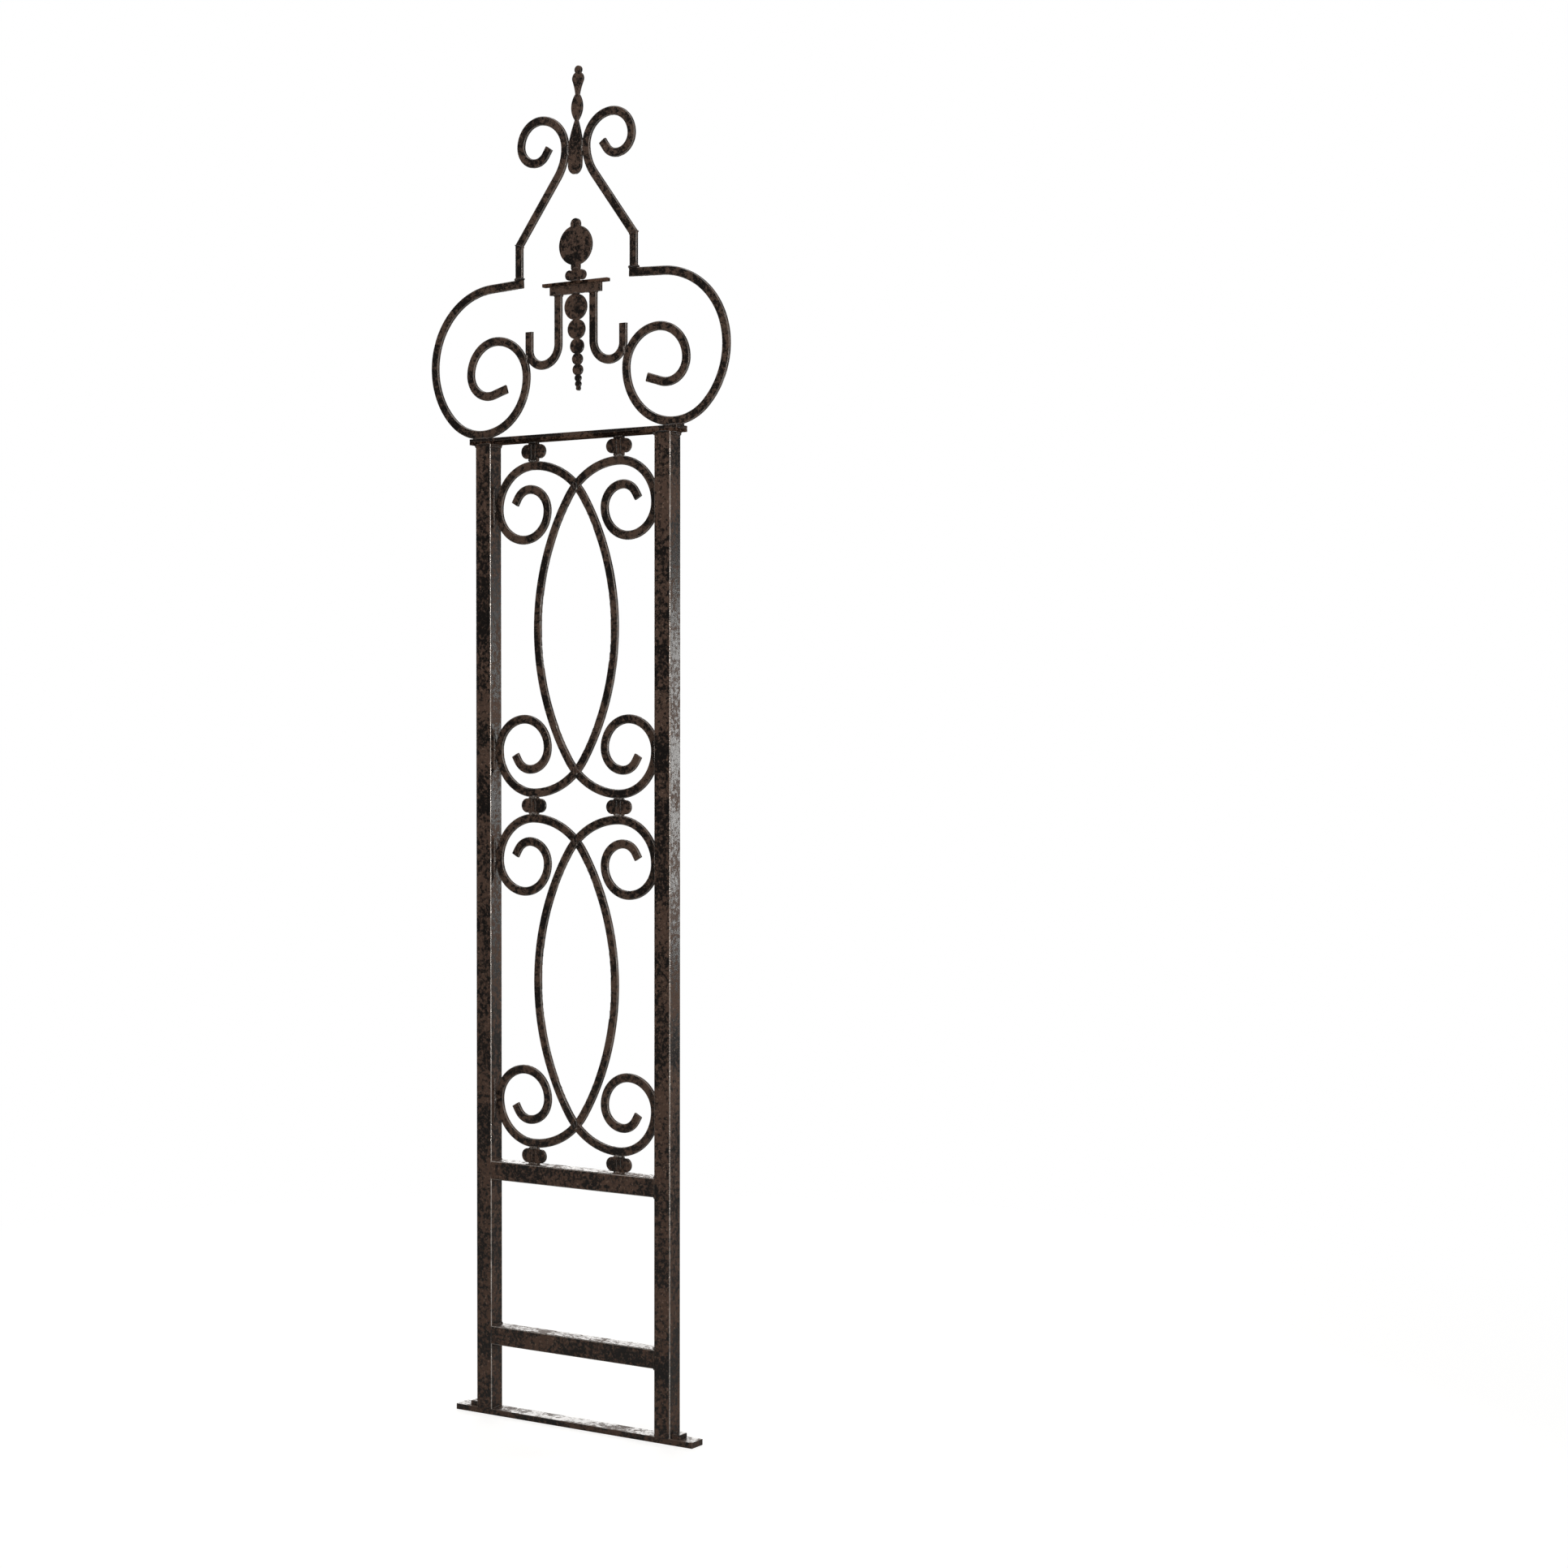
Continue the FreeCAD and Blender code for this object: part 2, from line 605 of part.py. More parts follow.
def make_spire():
    """Turned-look spire cut from plate and gripped between the rafters: half outline, mirrored."""
    body = new_body("spire")
    sketch = add_sketch(body, "spire_outline", "XZ_Plane")

    def station(share, rise):
        return f"{share}*spire_width/2", f"{rise}*spire_height - spire_foot_drop"

    def vector(spot):
        return FreeCAD.Vector(value(spot[0]), value(spot[1]), 0)

    corners = [station(share, rise) for share, rise, _ in SPIRE_SIDE]
    edges = []
    for here, there, (_, _, through) in zip(corners, corners[1:], SPIRE_SIDE[1:]):
        if through is None:
            shape = Part.LineSegment(vector(here), vector(there))
            edges.append(sketch.addGeometry(shape, False))
            continue
        middle = station(*through)
        shape = Part.Arc(vector(here), vector(middle), vector(there))
        arc = sketch.addGeometry(shape, False)
        guide = sketch.addGeometry(Part.Point(vector(middle)), True)
        pin(sketch, guide, 1, *middle)
        sketch.addConstraint(Sketcher.Constraint("PointOnObject", guide, 1, arc))
        edges.append(arc)

    # the knob is one circle through both neck corners and the tip, so its centre is on the axis
    tip, foot = ("0", "spire_height - spire_foot_drop"), ("0", "-spire_foot_drop")
    neck, top = vector(corners[-1]), vector(tip)
    rise = top.y - neck.y
    radius = (neck.x ** 2 + rise ** 2) / (2 * rise)
    circle = Part.Circle(FreeCAD.Vector(0, top.y - radius, 0), FreeCAD.Vector(0, 0, 1), radius)
    lowest = math.atan2(neck.y - (top.y - radius), neck.x)
    knob = sketch.addGeometry(Part.ArcOfCircle(circle, lowest, math.pi / 2), False)
    sketch.addConstraint(Sketcher.Constraint("PointOnObject", knob, 3, -2))
    edges.append(knob)
    corners += [tip, foot]
    axis_line = sketch.addGeometry(Part.LineSegment(vector(tip), vector(foot)), False)
    foot_line = sketch.addGeometry(Part.LineSegment(vector(foot), vector(corners[0])), False)
    edges += [axis_line, foot_line]

    for edge, following, corner in zip(edges, edges[1:] + edges[:1], corners[1:] + corners[:1]):
        spot = vector(corner)
        ends = end_at(sketch, edge, spot), end_at(sketch, following, spot)
        sketch.addConstraint(Sketcher.Constraint("Coincident", edge, ends[0], following, ends[1]))
        pin(sketch, edge, ends[0], *corner)
    doc.recompute()
    half = pad_sketch(body, sketch, "plate_thick", symmetric=True)
    mirror = body.newObject("PartDesign::Mirrored", "spire_mirror")
    mirror.Originals = [half]
    mirror.MirrorPlane = (origin_plane(body, "YZ_Plane"), [""])
    body.Tip = mirror
    place(body, z="grip_height", axis=FreeCAD.Vector(0, 1, 0), angle="spire_tilt")


def make_hook(name, side):
    """J hook: long leg welded under the bracket bar, bend resting on the crest scroll."""
    body = new_body(name)
    section = bar_section(body, name + "_section", "XY_Plane")
    bends = [("run", "hook_run"), ("hook_round", "90"), ("hook_tip_round", "90"),
             ("run", "hook_end")]
    bend_bar(body, name + "_bar", section, "0", -90, mirrored_steps(bends, side))
    place(body, f"{side}*hook_place", z="bracket_foot")


def make_bracket():
    add_box("bracket_bar", "bracket_length", "bar_depth", "bar_width", "bracket_foot")
    add_box("bracket_flange", "flange_length", "flange_depth", "flange_thick", "flange_foot")


def make_finial():
    """Round plate with a knob, standing on a double-lobed collar."""
    double_lobe("finial_collar", "collar_width", "collar_lobe", "collar_neck", "collar_height",
                "0", "collar_foot")
    disc_rise = "finial_stem + finial_radius"
    pieces = [
        plate_web("finial_stem_plate", "finial_stem_width", "0", disc_rise),
        plate_disc("finial_disc", "finial_radius", "0", disc_rise),
        plate_disc("finial_knob", "knob_radius", "0", f"{disc_rise} + knob_rise"),
    ]
    plate_ornament("finial", pieces, "0", "finial_foot")


def make_drop():
    """Pendant of shrinking discs under the bracket bar."""
    fall = "0"
    pieces = []
    for count, word in enumerate(DROP_DISCS):
        radius = f"drop_{word}_radius"
        if count:
            above = f"drop_{DROP_DISCS[count - 1]}_radius"
            fall = f"{fall} + {above} + {radius} - drop_overlap"
        pieces.append(plate_disc(f"drop_{word}_disc", radius, "0", f"-({fall})"))
    pieces.append(plate_web("drop_core", "drop_web", f"-({fall})", fall))
    plate_ornament("drop", pieces, "0", "bracket_foot - drop_top_radius",
                   FreeCAD.Vector(0, 1, 0), "-drop_tilt")


def build():
    make_base_bar()
    for side, word in ((-1, "left"), (1, "right")):
        make_post(f"{word}_post", side)
        make_foot_lug(f"{word}_foot_lug", side)
    make_rail("lower_rail", "lower_rail_foot")
    make_rail("middle_rail", "middle_rail_foot")
    make_strip("head_bar", "head_bar_foot")
    make_strip("crest_bar", "crest_bar_foot")
    for row, foot in (("lower", "lower_unit_foot"), ("upper", "upper_unit_foot")):
        make_unit_bar(f"{row}_scroll_left", 1, foot, front=True)
        make_unit_bar(f"{row}_scroll_right", -1, foot, front=False)
    make_connectors()
    for side, word in ((-1, "left"), (1, "right")):
        make_crest_scroll(f"crest_scroll_{word}", side)
        make_riser(f"riser_{word}", side)
        make_rafter(f"rafter_{word}", side)
        make_hook(f"hook_{word}", side)
    make_spire()
    make_bracket()
    make_finial()
    make_drop()
    doc.recompute()


def sub_parts():
    """Every object that isn't a construction piece of another one."""
    used = {shape.Name for item in doc.Objects if item.TypeId == "Part::MultiFuse"
            for shape in item.Shapes}
    kinds = ("PartDesign::Body", "Part::Box", "Part::MultiFuse")
    return [item for item in doc.Objects if item.TypeId in kinds and item.Name not in used]


def check_and_write():
    for item in doc.Objects:
        if "Invalid" in item.State or "Error" in item.State:
            raise RuntimeError(f"{item.Name} failed: {item.State}")
    os.makedirs("parts", exist_ok=True)
    parts = sub_parts()
    for item in parts:
        if item.Shape.isNull() or not item.Shape.isValid():
            raise RuntimeError(f"{item.Label} has no valid shape")
        if len(item.Shape.Solids) != 1:
            raise RuntimeError(f"{item.Label} has {len(item.Shape.Solids)} solids")
    for item in parts:
        item.Shape.exportStep(f"parts/{item.Label}.step")
        box = item.Shape.BoundBox
        print(f"{item.Label:24s} volume {item.Shape.Volume:10.1f} "
              f"z {box.ZMin:7.1f} to {box.ZMax:7.1f}")


fill_sheet()
build()
check_and_write()
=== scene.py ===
"""Looks for the welded garden trellis panel: patina, weld beads, softened edges, light and camera.

Metres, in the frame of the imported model: +Z up, X across the panel, front towards -Y.
"""

import math
import random

import bmesh
import bpy
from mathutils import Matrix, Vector
from mathutils.bvhtree import BVHTree


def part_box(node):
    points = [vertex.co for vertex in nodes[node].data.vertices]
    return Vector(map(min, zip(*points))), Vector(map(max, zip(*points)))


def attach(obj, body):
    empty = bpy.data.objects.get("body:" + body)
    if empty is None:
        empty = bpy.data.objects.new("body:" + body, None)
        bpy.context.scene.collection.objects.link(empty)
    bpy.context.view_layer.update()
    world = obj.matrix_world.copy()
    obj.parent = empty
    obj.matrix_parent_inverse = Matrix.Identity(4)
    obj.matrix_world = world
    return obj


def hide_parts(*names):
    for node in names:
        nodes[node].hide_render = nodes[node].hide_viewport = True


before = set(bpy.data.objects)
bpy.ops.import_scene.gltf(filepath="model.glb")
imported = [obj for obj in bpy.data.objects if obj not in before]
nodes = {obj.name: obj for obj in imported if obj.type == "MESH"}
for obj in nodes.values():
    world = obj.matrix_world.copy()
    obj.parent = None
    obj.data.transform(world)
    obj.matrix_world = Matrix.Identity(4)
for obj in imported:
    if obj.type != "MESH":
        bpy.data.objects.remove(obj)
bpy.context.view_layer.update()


# ---- Posts and rails ------------------------------------------------------------------------
# Square steel tube with rounded corners, brushed with a dark brown-black faux rust paint in two
# coats and clear-lacquered. The mottle, the rubbed edges and the settled dust start here, and so
# does the painted highlight line on the crowns of the rounded corners.

def node_group(name, inputs, outputs):
    """An empty shader group with named sockets, and its two end nodes."""
    group = bpy.data.node_groups.new(name, "ShaderNodeTree")
    for label, kind, default in inputs:
        socket = group.interface.new_socket(name=label, in_out="INPUT", socket_type=kind)
        if default is not None:
            socket.default_value = default
    for label, kind in outputs:
        group.interface.new_socket(name=label, in_out="OUTPUT", socket_type=kind)
    return group, group.nodes.new("NodeGroupInput"), group.nodes.new("NodeGroupOutput")


def noise(tree, vector, scale, detail, roughness):
    """A noise texture; its scale may be a number or another node's socket."""
    node = tree.nodes.new("ShaderNodeTexNoise")
    node.inputs["Detail"].default_value = detail
    node.inputs["Roughness"].default_value = roughness
    tree.links.new(vector, node.inputs["Vector"])
    if isinstance(scale, (int, float)):
        node.inputs["Scale"].default_value = scale
    else:
        tree.links.new(scale, node.inputs["Scale"])
    return node.outputs["Fac"]


def remap(tree, value, low, high, to_low=0.0, to_high=1.0):
    """Stretch part of a value's range, clamped at both ends."""
    node = tree.nodes.new("ShaderNodeMapRange")
    tree.links.new(value, node.inputs["Value"])
    for label, number in (("From Min", low), ("From Max", high),
                          ("To Min", to_low), ("To Max", to_high)):
        node.inputs[label].default_value = number
    return node.outputs["Result"]


def calculate(tree, operation, first, second):
    node = tree.nodes.new("ShaderNodeMath")
    node.operation = operation
    for place, value in enumerate((first, second)):
        if isinstance(value, (int, float)):
            node.inputs[place].default_value = value
        else:
            tree.links.new(value, node.inputs[place])
    return node.outputs["Value"]


def blend_colours(tree, mask, under, over):
    node = tree.nodes.new("ShaderNodeMix")
    node.data_type = "RGBA"
    tree.links.new(mask, node.inputs["Factor"])
    for label, colour in (("A", under), ("B", over)):
        socket = next(s for s in node.inputs if s.name == label and s.type == "RGBA")
        if isinstance(colour, tuple):
            socket.default_value = colour
        else:
            tree.links.new(colour, socket)
    return next(s for s in node.outputs if s.type == "RGBA")


CLOUD_SHARE = 0.20               # how strongly the clouds gather the patches
PATCH_EDGE = (0.565, 0.665)      # grain value from bare ground to full patch
SPECK_FINENESS = 2.1             # specks against the grain's own scale
SPECK_EDGE = (0.60, 0.72)
GROUND_ROUGHNESS, PATCH_ROUGHNESS = 0.34, 0.80
LACQUER_ON_PATCH, LACQUER_ON_SPECK = 0.25, 0.15   # what the rough paint leaves of the lacquer


def make_patina_mottle():
    """Two brushed coats: near-black ground, brown patches gathered in clouds, fine tan specks."""
    group, given, out = node_group(
        "patina_mottle",
        [("Vector", "NodeSocketVector", None), ("Grain Scale", "NodeSocketFloat", 400.0),
         ("Cloud Scale", "NodeSocketFloat", 24.0), ("Speck Amount", "NodeSocketFloat", 0.5),
         ("Ground", "NodeSocketColor", None), ("Patch", "NodeSocketColor", None),
         ("Speck", "NodeSocketColor", None)],
        [("Color", "NodeSocketColor"), ("Roughness", "NodeSocketFloat"),
         ("Height", "NodeSocketFloat"), ("Lacquer", "NodeSocketFloat")])
    clouds = noise(group, given.outputs["Vector"], given.outputs["Cloud Scale"], 4, 0.6)
    cloud = remap(group, clouds, 0.35, 0.65)
    grain = noise(group, given.outputs["Vector"], given.outputs["Grain Scale"], 5, 0.72)
    gathered = calculate(group, "ADD", grain, calculate(group, "MULTIPLY", cloud, CLOUD_SHARE))
    patch = remap(group, gathered, *PATCH_EDGE)
    fine_scale = calculate(group, "MULTIPLY", given.outputs["Grain Scale"], SPECK_FINENESS)
    fine = remap(group, noise(group, given.outputs["Vector"], fine_scale, 2, 0.5), *SPECK_EDGE)
    specks = calculate(group, "MULTIPLY", fine, given.outputs["Speck Amount"])
    specks = calculate(group, "MULTIPLY", specks, remap(group, cloud, 0.0, 1.0, 0.35, 1.0))
    mixed = blend_colours(group, patch, given.outputs["Ground"], given.outputs["Patch"])
    mixed = blend_colours(group, specks, mixed, given.outputs["Speck"])
    group.links.new(mixed, out.inputs["Color"])
    group.links.new(remap(group, patch, 0.0, 1.0, GROUND_ROUGHNESS, PATCH_ROUGHNESS),
                    out.inputs["Roughness"])
    lacquer = calculate(group, "MULTIPLY", remap(group, fine, 0.0, 0.6, 1.0, LACQUER_ON_SPECK),
                        remap(group, patch, 0.0, 1.0, 1.0, LACQUER_ON_PATCH))
    group.links.new(lacquer, out.inputs["Lacquer"])
    group.links.new(calculate(group, "ADD", grain, calculate(group, "MULTIPLY", fine, 0.4)),
                    out.inputs["Height"])
    return group


def make_edge_rub():
    """Where a rounded-over normal leaves the true one: the rubbed line along an edge."""
    group, given, out = node_group(
        "edge_rub", [("Reach", "NodeSocketFloat", 0.001), ("Breakup", "NodeSocketFloat", 0.5)],
        [("Mask", "NodeSocketFloat")])
    rounded = group.nodes.new("ShaderNodeBevel")
    rounded.samples = 4
    group.links.new(given.outputs["Reach"], rounded.inputs["Radius"])
    surface = group.nodes.new("ShaderNodeNewGeometry")
    dot = group.nodes.new("ShaderNodeVectorMath")
    dot.operation = "DOT_PRODUCT"
    group.links.new(rounded.outputs["Normal"], dot.inputs[0])
    group.links.new(surface.outputs["Normal"], dot.inputs[1])
    line = remap(group, calculate(group, "SUBTRACT", 1.0, dot.outputs["Value"]), 0.02, 0.22)
    group.links.new(calculate(group, "MULTIPLY", line, given.outputs["Breakup"]),
                    out.inputs["Mask"])
    return group


def make_crown_painted_highlight():
    """The very crown of a rounded edge that turns from front or back to a side: a painted highlight
    line of bare-steel colour, metallic and smoother, that the lamps light up.
    """
    group, given, out = node_group(
        "crown_painted_highlight", [("Vector", "NodeSocketVector", None), ("Amount", "NodeSocketFloat", 1.0)],
        [("Mask", "NodeSocketFloat")])
    surface = group.nodes.new("ShaderNodeNewGeometry")
    parts = group.nodes.new("ShaderNodeSeparateXYZ")
    group.links.new(surface.outputs["Normal"], parts.inputs[0])
    facing = calculate(group, "ABSOLUTE", parts.outputs["Y"], 0.0)
    sideways = calculate(group, "SUBTRACT", 1.0, calculate(group, "MULTIPLY", facing, facing))
    turned = calculate(group, "MULTIPLY", facing, calculate(group, "SQRT", sideways, 0.0))
    crown = remap(group, turned, 0.32, 0.46)
    highlight_breakup = remap(group, noise(group, given.outputs["Vector"], 55.0, 4, 0.7), 0.30, 0.60, 0.30, 1.0)
    group.links.new(calculate(group, "MULTIPLY", calculate(group, "MULTIPLY", crown, highlight_breakup),
                              given.outputs["Amount"]), out.inputs["Mask"])
    return group


def make_settled_dust():
    """A pale film on faces that look up."""
    group, given, out = node_group(
        "settled_dust", [("Vector", "NodeSocketVector", None), ("Amount", "NodeSocketFloat", 0.2)],
        [("Mask", "NodeSocketFloat")])
    surface = group.nodes.new("ShaderNodeNewGeometry")
    parts = group.nodes.new("ShaderNodeSeparateXYZ")
    group.links.new(surface.outputs["Normal"], parts.inputs[0])
    upward = remap(group, parts.outputs["Z"], 0.75, 0.98)
    patchy = remap(group, noise(group, given.outputs["Vector"], 90.0, 3, 0.6), 0.3, 0.7, 0.4, 1.0)
    dusty = calculate(group, "MULTIPLY", calculate(group, "MULTIPLY", upward, patchy),
                      given.outputs["Amount"])
    group.links.new(dusty, out.inputs["Mask"])
    return group


patina_mottle = make_patina_mottle()
edge_rub = make_edge_rub()
crown_painted_highlight = make_crown_painted_highlight()
settled_dust = make_settled_dust()
DUST_COLOUR = (0.30, 0.27, 0.23, 1)
RUB_COLOUR = (0.16, 0.125, 0.10, 1)
# bare steel for the weld spots, and also the colour of the painted highlight on the corner crowns
BARE_STEEL_AND_HIGHLIGHT = (0.60, 0.57, 0.54, 1)
EDGE_REACH = 0.0012              # width of the rubbed line
RELIEF_DEPTH = 0.0003            # brush marks
# the painted highlight on the corner crowns: how metallic it is, and how much smoother
CROWN_HIGHLIGHT_METAL, CROWN_HIGHLIGHT_SMOOTHING = 0.85, 0.28
COAT_ROUGHNESS = 0.20


def patina_finish(name, ground, patch, speck, grain, cloud, speck_amount, coat, bump, rub, dust,
                  painted_highlight, gloss=0.5):
    """One patina material: the shared effects with this finish's own values."""
    material = bpy.data.materials.new(name)
    material.use_nodes = True
    tree = material.node_tree
    shader = tree.nodes["Principled BSDF"]
    place = tree.nodes.new("ShaderNodeTexCoord").outputs["Object"]

    mottle = tree.nodes.new("ShaderNodeGroup")
    mottle.node_tree = patina_mottle
    for label, number in (("Grain Scale", grain), ("Cloud Scale", cloud),
                          ("Speck Amount", speck_amount), ("Ground", ground), ("Patch", patch),
                          ("Speck", speck)):
        mottle.inputs[label].default_value = number
    tree.links.new(place, mottle.inputs["Vector"])

    colour, roughness = mottle.outputs["Color"], mottle.outputs["Roughness"]
    if rub > 0:
        edges = tree.nodes.new("ShaderNodeGroup")
        edges.node_tree = edge_rub
        edges.inputs["Reach"].default_value = EDGE_REACH
        edges.inputs["Breakup"].default_value = rub
        colour = blend_colours(tree, edges.outputs["Mask"], colour, RUB_COLOUR)
    if dust > 0:
        film = tree.nodes.new("ShaderNodeGroup")
        film.node_tree = settled_dust
        film.inputs["Amount"].default_value = dust
        tree.links.new(place, film.inputs["Vector"])
        colour = blend_colours(tree, film.outputs["Mask"], colour, DUST_COLOUR)
    # the painted highlight: bare-steel colour, metal and smoothness on the corner crowns
    if painted_highlight > 0:
        crown = tree.nodes.new("ShaderNodeGroup")
        crown.node_tree = crown_painted_highlight
        crown.inputs["Amount"].default_value = painted_highlight
        tree.links.new(place, crown.inputs["Vector"])
        crown_highlight_mask = crown.outputs["Mask"]
        colour = blend_colours(tree, crown_highlight_mask, colour, BARE_STEEL_AND_HIGHLIGHT)
        tree.links.new(remap(tree, crown_highlight_mask, 0.0, 1.0, 0.0, CROWN_HIGHLIGHT_METAL), shader.inputs["Metallic"])
        smoother = calculate(tree, "MULTIPLY", crown_highlight_mask, CROWN_HIGHLIGHT_SMOOTHING)
        roughness = calculate(tree, "SUBTRACT", roughness, smoother)
    tree.links.new(colour, shader.inputs["Base Color"])
    tree.links.new(roughness, shader.inputs["Roughness"])
    shader.inputs["Specular IOR Level"].default_value = gloss
    relief = tree.nodes.new("ShaderNodeBump")
    relief.inputs["Strength"].default_value = bump
    relief.inputs["Distance"].default_value = RELIEF_DEPTH
    tree.links.new(mottle.outputs["Height"], relief.inputs["Height"])
    tree.links.new(relief.outputs["Normal"], shader.inputs["Normal"])
    if coat > 0:
        tree.links.new(calculate(tree, "MULTIPLY", mottle.outputs["Lacquer"], coat),
                       shader.inputs["Coat Weight"])
        shader.inputs["Coat Roughness"].default_value = COAT_ROUGHNESS
    return material


tube_patina = patina_finish(
    "tube_patina", ground=(0.0056, 0.0036, 0.0030, 1), patch=(0.100, 0.059, 0.041, 1),
    speck=(0.29, 0.20, 0.15, 1), grain=165.0, cloud=15.0, speck_amount=0.65,
    coat=0.22, bump=0.85, rub=0.35, dust=0.04, painted_highlight=1.0)


def finish(node_name, material):
    """Give a CAD node its finish in place of the plain one that it came with."""
    slots = nodes[node_name].data.materials
    slots.clear()
    slots.append(material)


for post_or_rail in ("left_post", "right_post", "lower_rail", "middle_rail"):
    finish(post_or_rail, tube_patina)


# ---- Flat strips, base bar and foot lugs ----------------------------------------------------
# Flat mild-steel bar, sawn to length and filed, so every corner is a little soft. These strips
# carry the glossiest lacquer, and dust settles on the faces that look up.

strip_patina = patina_finish(
    "strip_patina", ground=(0.0052, 0.0035, 0.0030, 1), patch=(0.090, 0.054, 0.038, 1),
    speck=(0.27, 0.19, 0.145, 1), grain=190.0, cloud=22.0, speck_amount=0.55,
    coat=0.35, bump=0.35, rub=0.35, dust=0.05, painted_highlight=0.3)
# the head bar and the bracket's flat are seen from below; they are matt, and their lighter, browner
# colour is painted light from below
underside_painted_light_patina = patina_finish(
    "underside_painted_light_patina", ground=(0.010, 0.0066, 0.0052, 1), patch=(0.115, 0.070, 0.050, 1),
    speck=(0.28, 0.20, 0.155, 1), grain=190.0, cloud=22.0, speck_amount=0.55,
    coat=0.0, bump=0.35, rub=0.35, dust=0.0, painted_highlight=0.0, gloss=0.0)
FILED_EDGE = 0.0005


def softened(node_name, material, edge, sharp_angle=35.0):
    """A copy of a sharp-edged node with its edges rounded over, standing for the node."""
    mesh = nodes[node_name].data.copy()
    mesh.name = node_name + "_soft"
    piece = bpy.data.objects.new(node_name + "_soft", mesh)
    bpy.context.scene.collection.objects.link(piece)
    form = bmesh.new()
    form.from_mesh(mesh)
    bmesh.ops.remove_doubles(form, verts=form.verts, dist=1e-6)
    flat = math.radians(1.0)
    bmesh.ops.dissolve_limit(form, angle_limit=flat, verts=form.verts, edges=form.edges)
    limit = math.radians(sharp_angle)
    sharp = [e for e in form.edges if len(e.link_faces) == 2 and e.calc_face_angle(0.0) > limit]
    bmesh.ops.bevel(form, geom=sharp, offset=edge, offset_type="OFFSET", segments=3, profile=0.5,
                    affect="EDGES", clamp_overlap=True)
    for face in form.faces:
        face.smooth = True
    form.to_mesh(mesh)
    form.free()
    mesh.materials.clear()
    mesh.materials.append(material)
    mesh.set_sharp_from_angle(angle=math.radians(38.0))
    even = piece.modifiers.new("even_normals", "WEIGHTED_NORMAL")
    even.keep_sharp = True
    even.weight = 100
    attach(piece, "root")
    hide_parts(node_name)
    return piece


for strip in ("base_bar", "left_foot_lug", "right_foot_lug", "crest_bar"):
    softened(strip, strip_patina, FILED_EDGE)
for strip in ("head_bar", "bracket_flange"):
    softened(strip, underside_painted_light_patina, FILED_EDGE)


# ---- Bent flat bar: infill, crest scrolls, risers, rafters and hooks --------------------------
# Rolled-edge bar bent cold on a scroll jig. Its patina was brushed on after welding, so the
# grain is finer than on the posts and the rolled edges are rubbed lighter.

bar_patina = patina_finish(
    "bar_patina", ground=(0.0060, 0.0039, 0.0032, 1), patch=(0.098, 0.060, 0.042, 1),
    speck=(0.28, 0.20, 0.15, 1), grain=205.0, cloud=24.0, speck_amount=0.65,
    coat=0.2, bump=0.6, rub=0.22, dust=0.04, painted_highlight=0.4)

SIDES = ("left", "right")
bent_bars = [f"{row}_scroll_{side}" for row in ("lower", "upper") for side in SIDES]
bent_bars += [f"{kind}_{side}" for kind in ("crest_scroll", "riser", "rafter", "hook")
              for side in SIDES]
for bar in bent_bars:
    finish(bar, bar_patina)
BRACKET_EDGE = 0.0008
softened("bracket_bar", bar_patina, BRACKET_EDGE)


# ---- Cut-plate ornaments: connectors, collar, finial, spire and drop ------------------------
# Four-millimetre plate cut to outline and dressed on a grinding wheel, which leaves a fat
# rounded rim. They are welded in by their necks and feet.

plate_patina = patina_finish(
    "plate_patina", ground=(0.0060, 0.0039, 0.0032, 1), patch=(0.100, 0.060, 0.042, 1),
    speck=(0.29, 0.205, 0.155, 1), grain=200.0, cloud=30.0, speck_amount=0.65,
    coat=0.2, bump=0.6, rub=0.28, dust=0.04, painted_highlight=0.25)
DRESSED_RIM = 0.0011

CONNECTOR_ROWS = ("bottom", "middle", "top")
plates = [f"{row}_connector_{side}" for row in CONNECTOR_ROWS for side in SIDES]
plates += ["finial_collar", "finial", "spire", "drop"]
for plate in plates:
    softened(plate, plate_patina, DRESSED_RIM)


# ---- Weld beads -------------------------------------------------------------------------------
# Short hand-laid beads at every joint, painted over with the patina. Each is a row of
# overlapping puddles, so it swells and ripples, and a few keep bare bright spots.

def make_weld_finish():
    """Dark patina over bead metal, with bare steel where the bead's own mark says so."""
    material = patina_finish(
        "weld_patina", ground=(0.0050, 0.0034, 0.0029, 1), patch=(0.075, 0.046, 0.033, 1),
        speck=(0.24, 0.17, 0.13, 1), grain=230.0, cloud=30.0, speck_amount=0.5,
        coat=0.35, bump=0.6, rub=0.0, dust=0.02, painted_highlight=0.0)
    tree = material.node_tree
    shader = tree.nodes["Principled BSDF"]
    painted = shader.inputs["Base Color"].links[0].from_socket
    mark = tree.nodes.new("ShaderNodeAttribute")
    mark.attribute_name = "bare"
    place = tree.nodes.new("ShaderNodeTexCoord").outputs["Object"]
    broken = remap(tree, noise(tree, place, 650.0, 3, 0.6), 0.46, 0.56)
    mask = calculate(tree, "MULTIPLY", mark.outputs["Fac"], broken)
    tree.links.new(blend_colours(tree, mask, painted, BARE_STEEL_AND_HIGHLIGHT), shader.inputs["Base Color"])
    tree.links.new(mask, shader.inputs["Metallic"])
    return material


weld_patina = make_weld_finish()
BEAD_AROUND = 10                       # points round a bead
PUDDLE_PITCH = 0.0016                  # from one puddle to the next
BLUNT_END = 0.12                       # radius left at a bead's end, as a share
SLOW_SWELL, BEAD_SWELL = 0.13, 0.09    # along a bead, and from bead to bead
BETWEEN_PUDDLES, PUDDLE_RISE = 0.86, 0.16
WANDER = 0.18                          # how far a bead strays sideways, in radii
POINT_ROUGHNESS = 0.05
HAND_SPREAD = 0.12                     # how one bead's radius differs from the next


